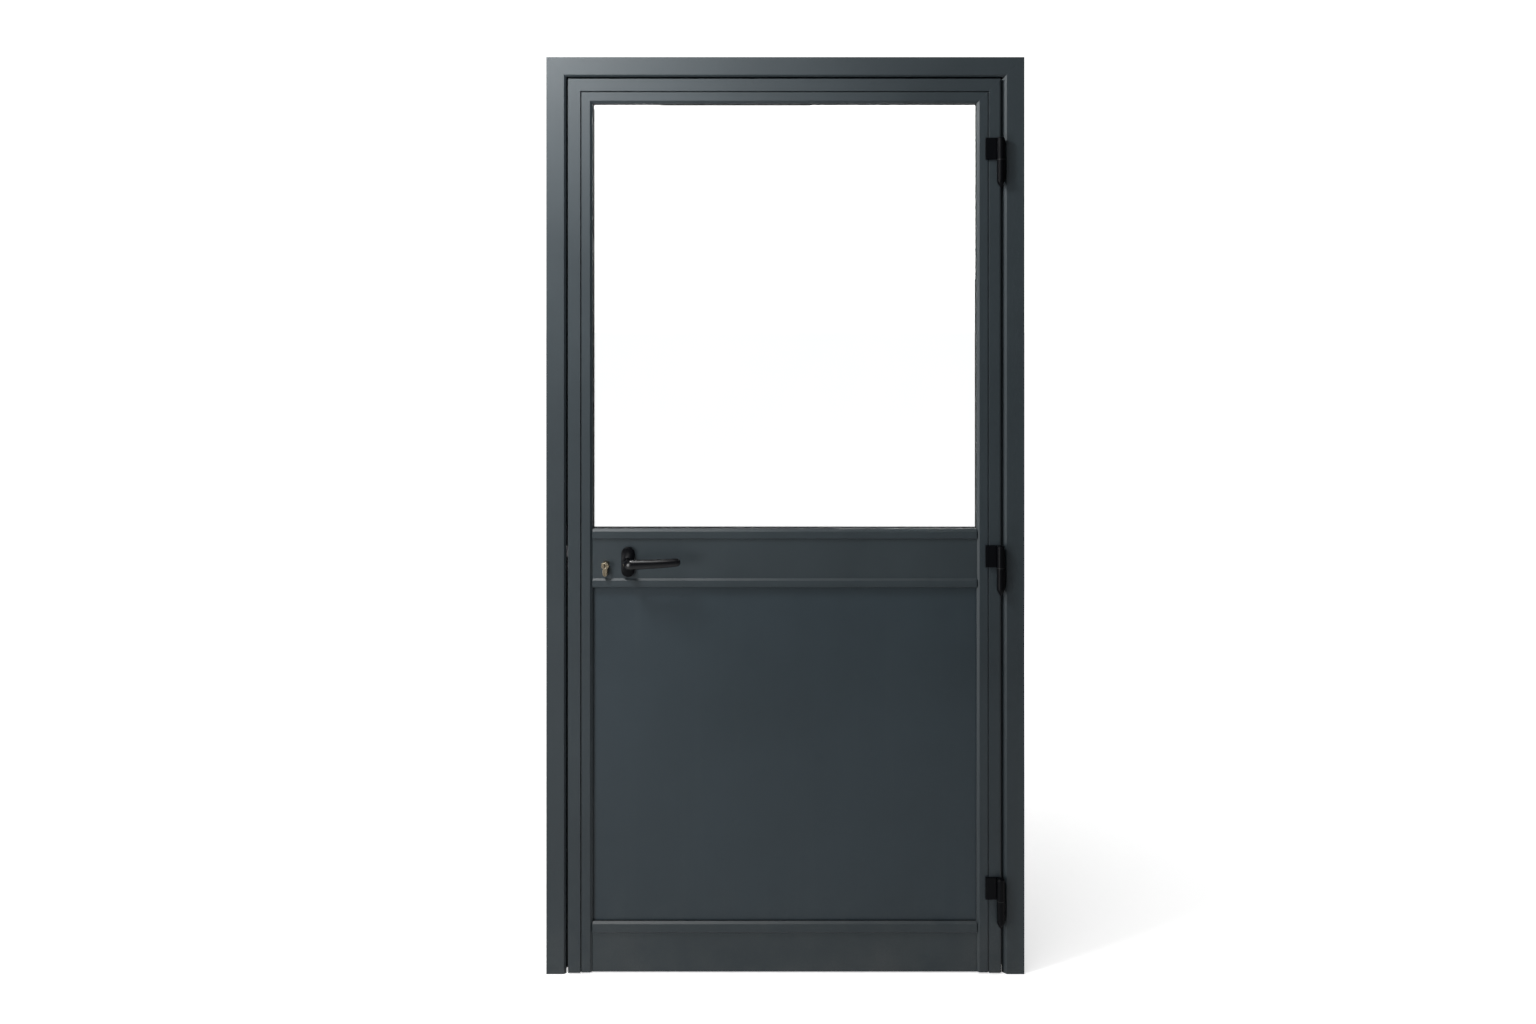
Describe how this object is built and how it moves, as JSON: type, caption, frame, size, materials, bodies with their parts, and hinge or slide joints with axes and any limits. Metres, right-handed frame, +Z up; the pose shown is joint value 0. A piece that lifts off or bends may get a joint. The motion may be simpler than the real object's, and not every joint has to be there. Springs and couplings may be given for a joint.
{
  "type": "half-glazed door with frame",
  "caption": "Hinged metal door leaf in its own frame, glass above a mid rail and a blind panel below, with lever handles, a sprung latch and a key-operated bolt.",
  "frame": {"origin": "on the floor line, at the middle of the frame's width and midway through the thickness of the leaf's rails", "axes": "+X across the door towards the hinges, +Y from the outside face to the inside face, +Z up"},
  "size_m": [1.1, 0.146, 2.1105],
  "materials": {
    "powder_coat": "fine-textured anthracite powder coat",
    "black_metal": "satin black coat",
    "steel": "brushed",
    "zinc_steel": "zinc plated",
    "mill_aluminium": "mill finish",
    "brass": "satin",
    "seal_rubber": "matt",
    "clear_glass": "clear",
    "block_plastic": "moulded",
    "foam_core": "cut foam"
  },
  "bodies": {
    "root": {"jamb_lock": "powder_coat", "jamb_hinge": "powder_coat", "frame_head": "powder_coat", "frame_cleats": "mill_aluminium", "stop_gasket_lock": "seal_rubber", "stop_gasket_head": "seal_rubber", "stop_gasket_hinge": "seal_rubber", "strike_plate": "steel", "strike_screws": "zinc_steel", "frame_knuckles": "black_metal", "hinge_pins": "steel", "hinge_tips": "black_metal", "jamb_nut_plates": "zinc_steel", "jamb_hinge_screws": "zinc_steel"},
    "leaf": {"stile_lock": "powder_coat", "stile_hinge": "powder_coat", "top_rail": "powder_coat", "mid_rail": "powder_coat", "bottom_rail": "powder_coat", "leaf_cleats": "mill_aluminium", "rail_connectors": "mill_aluminium", "outer_pane": "clear_glass", "inner_pane": "clear_glass", "pane_spacer": "mill_aluminium", "glass_front_gasket": "seal_rubber", "glass_back_gasket": "seal_rubber", "level_beads": "powder_coat", "glass_side_beads": "powder_coat", "panel_side_beads": "powder_coat", "setting_blocks": "block_plastic", "panel_front_skin": "powder_coat", "panel_core": "foam_core", "panel_back_skin": "powder_coat", "panel_front_gasket": "seal_rubber", "panel_back_gasket": "seal_rubber", "bottom_seal": "seal_rubber", "lock_case": "zinc_steel", "lock_cover": "zinc_steel", "lock_faceplate": "steel", "faceplate_screws": "zinc_steel", "cylinder_body": "brass", "cylinder_screw": "zinc_steel", "front_rosette": "black_metal", "back_rosette": "black_metal", "rosette_screws": "zinc_steel", "leaf_flags": "black_metal", "flag_covers": "black_metal", "flag_screws": "zinc_steel", "flag_nut_plates": "zinc_steel", "hinge_bushes": "block_plastic"},
    "handle": {"front_lever": "black_metal", "back_lever": "black_metal", "spindle": "steel", "follower": "zinc_steel", "grub_screws": "zinc_steel"},
    "latch": {"latch_bolt": "steel", "latch_spring": "steel"},
    "deadbolt": {"deadbolt": "steel"},
    "key_plug": {"cylinder_plug": "brass", "cylinder_cam": "steel"}
  },
  "joints": [
    {"name": "leaf_swing", "type": "hinge", "parent": "root", "child": "leaf", "pos_m": [0.494, -0.033, 0], "axis": [0, 0, 1], "range_deg": [0, 170]},
    {"name": "handle_turn", "type": "hinge", "parent": "leaf", "child": "handle", "pos_m": [-0.3624, 0, 0.948], "axis": [0, 1, 0], "range_deg": [0, 40], "stiffness_Nm_per_rad": 1.5, "springref_deg": -28.65},
    {"name": "latch_slide", "type": "slide", "parent": "leaf", "child": "latch", "axis": [1, 0, 0], "range_m": [0, 0.0126], "deforming": ["latch_spring"]},
    {"name": "key_turn", "type": "hinge", "parent": "leaf", "child": "key_plug", "pos_m": [-0.4142, 0, 0.9407], "axis": [0, -1, 0], "range_deg": [0, 360]},
    {"name": "bolt_slide", "type": "slide", "parent": "leaf", "child": "deadbolt", "axis": [-1, 0, 0], "range_m": [0, 0.02]}
  ],
  "couplings": [
    {"joint": "latch_slide", "follows": "handle_turn", "m_per_rad": 0.017905},
    {"joint": "key_turn", "follows": "bolt_slide", "rad_per_m": 314}
  ]
}
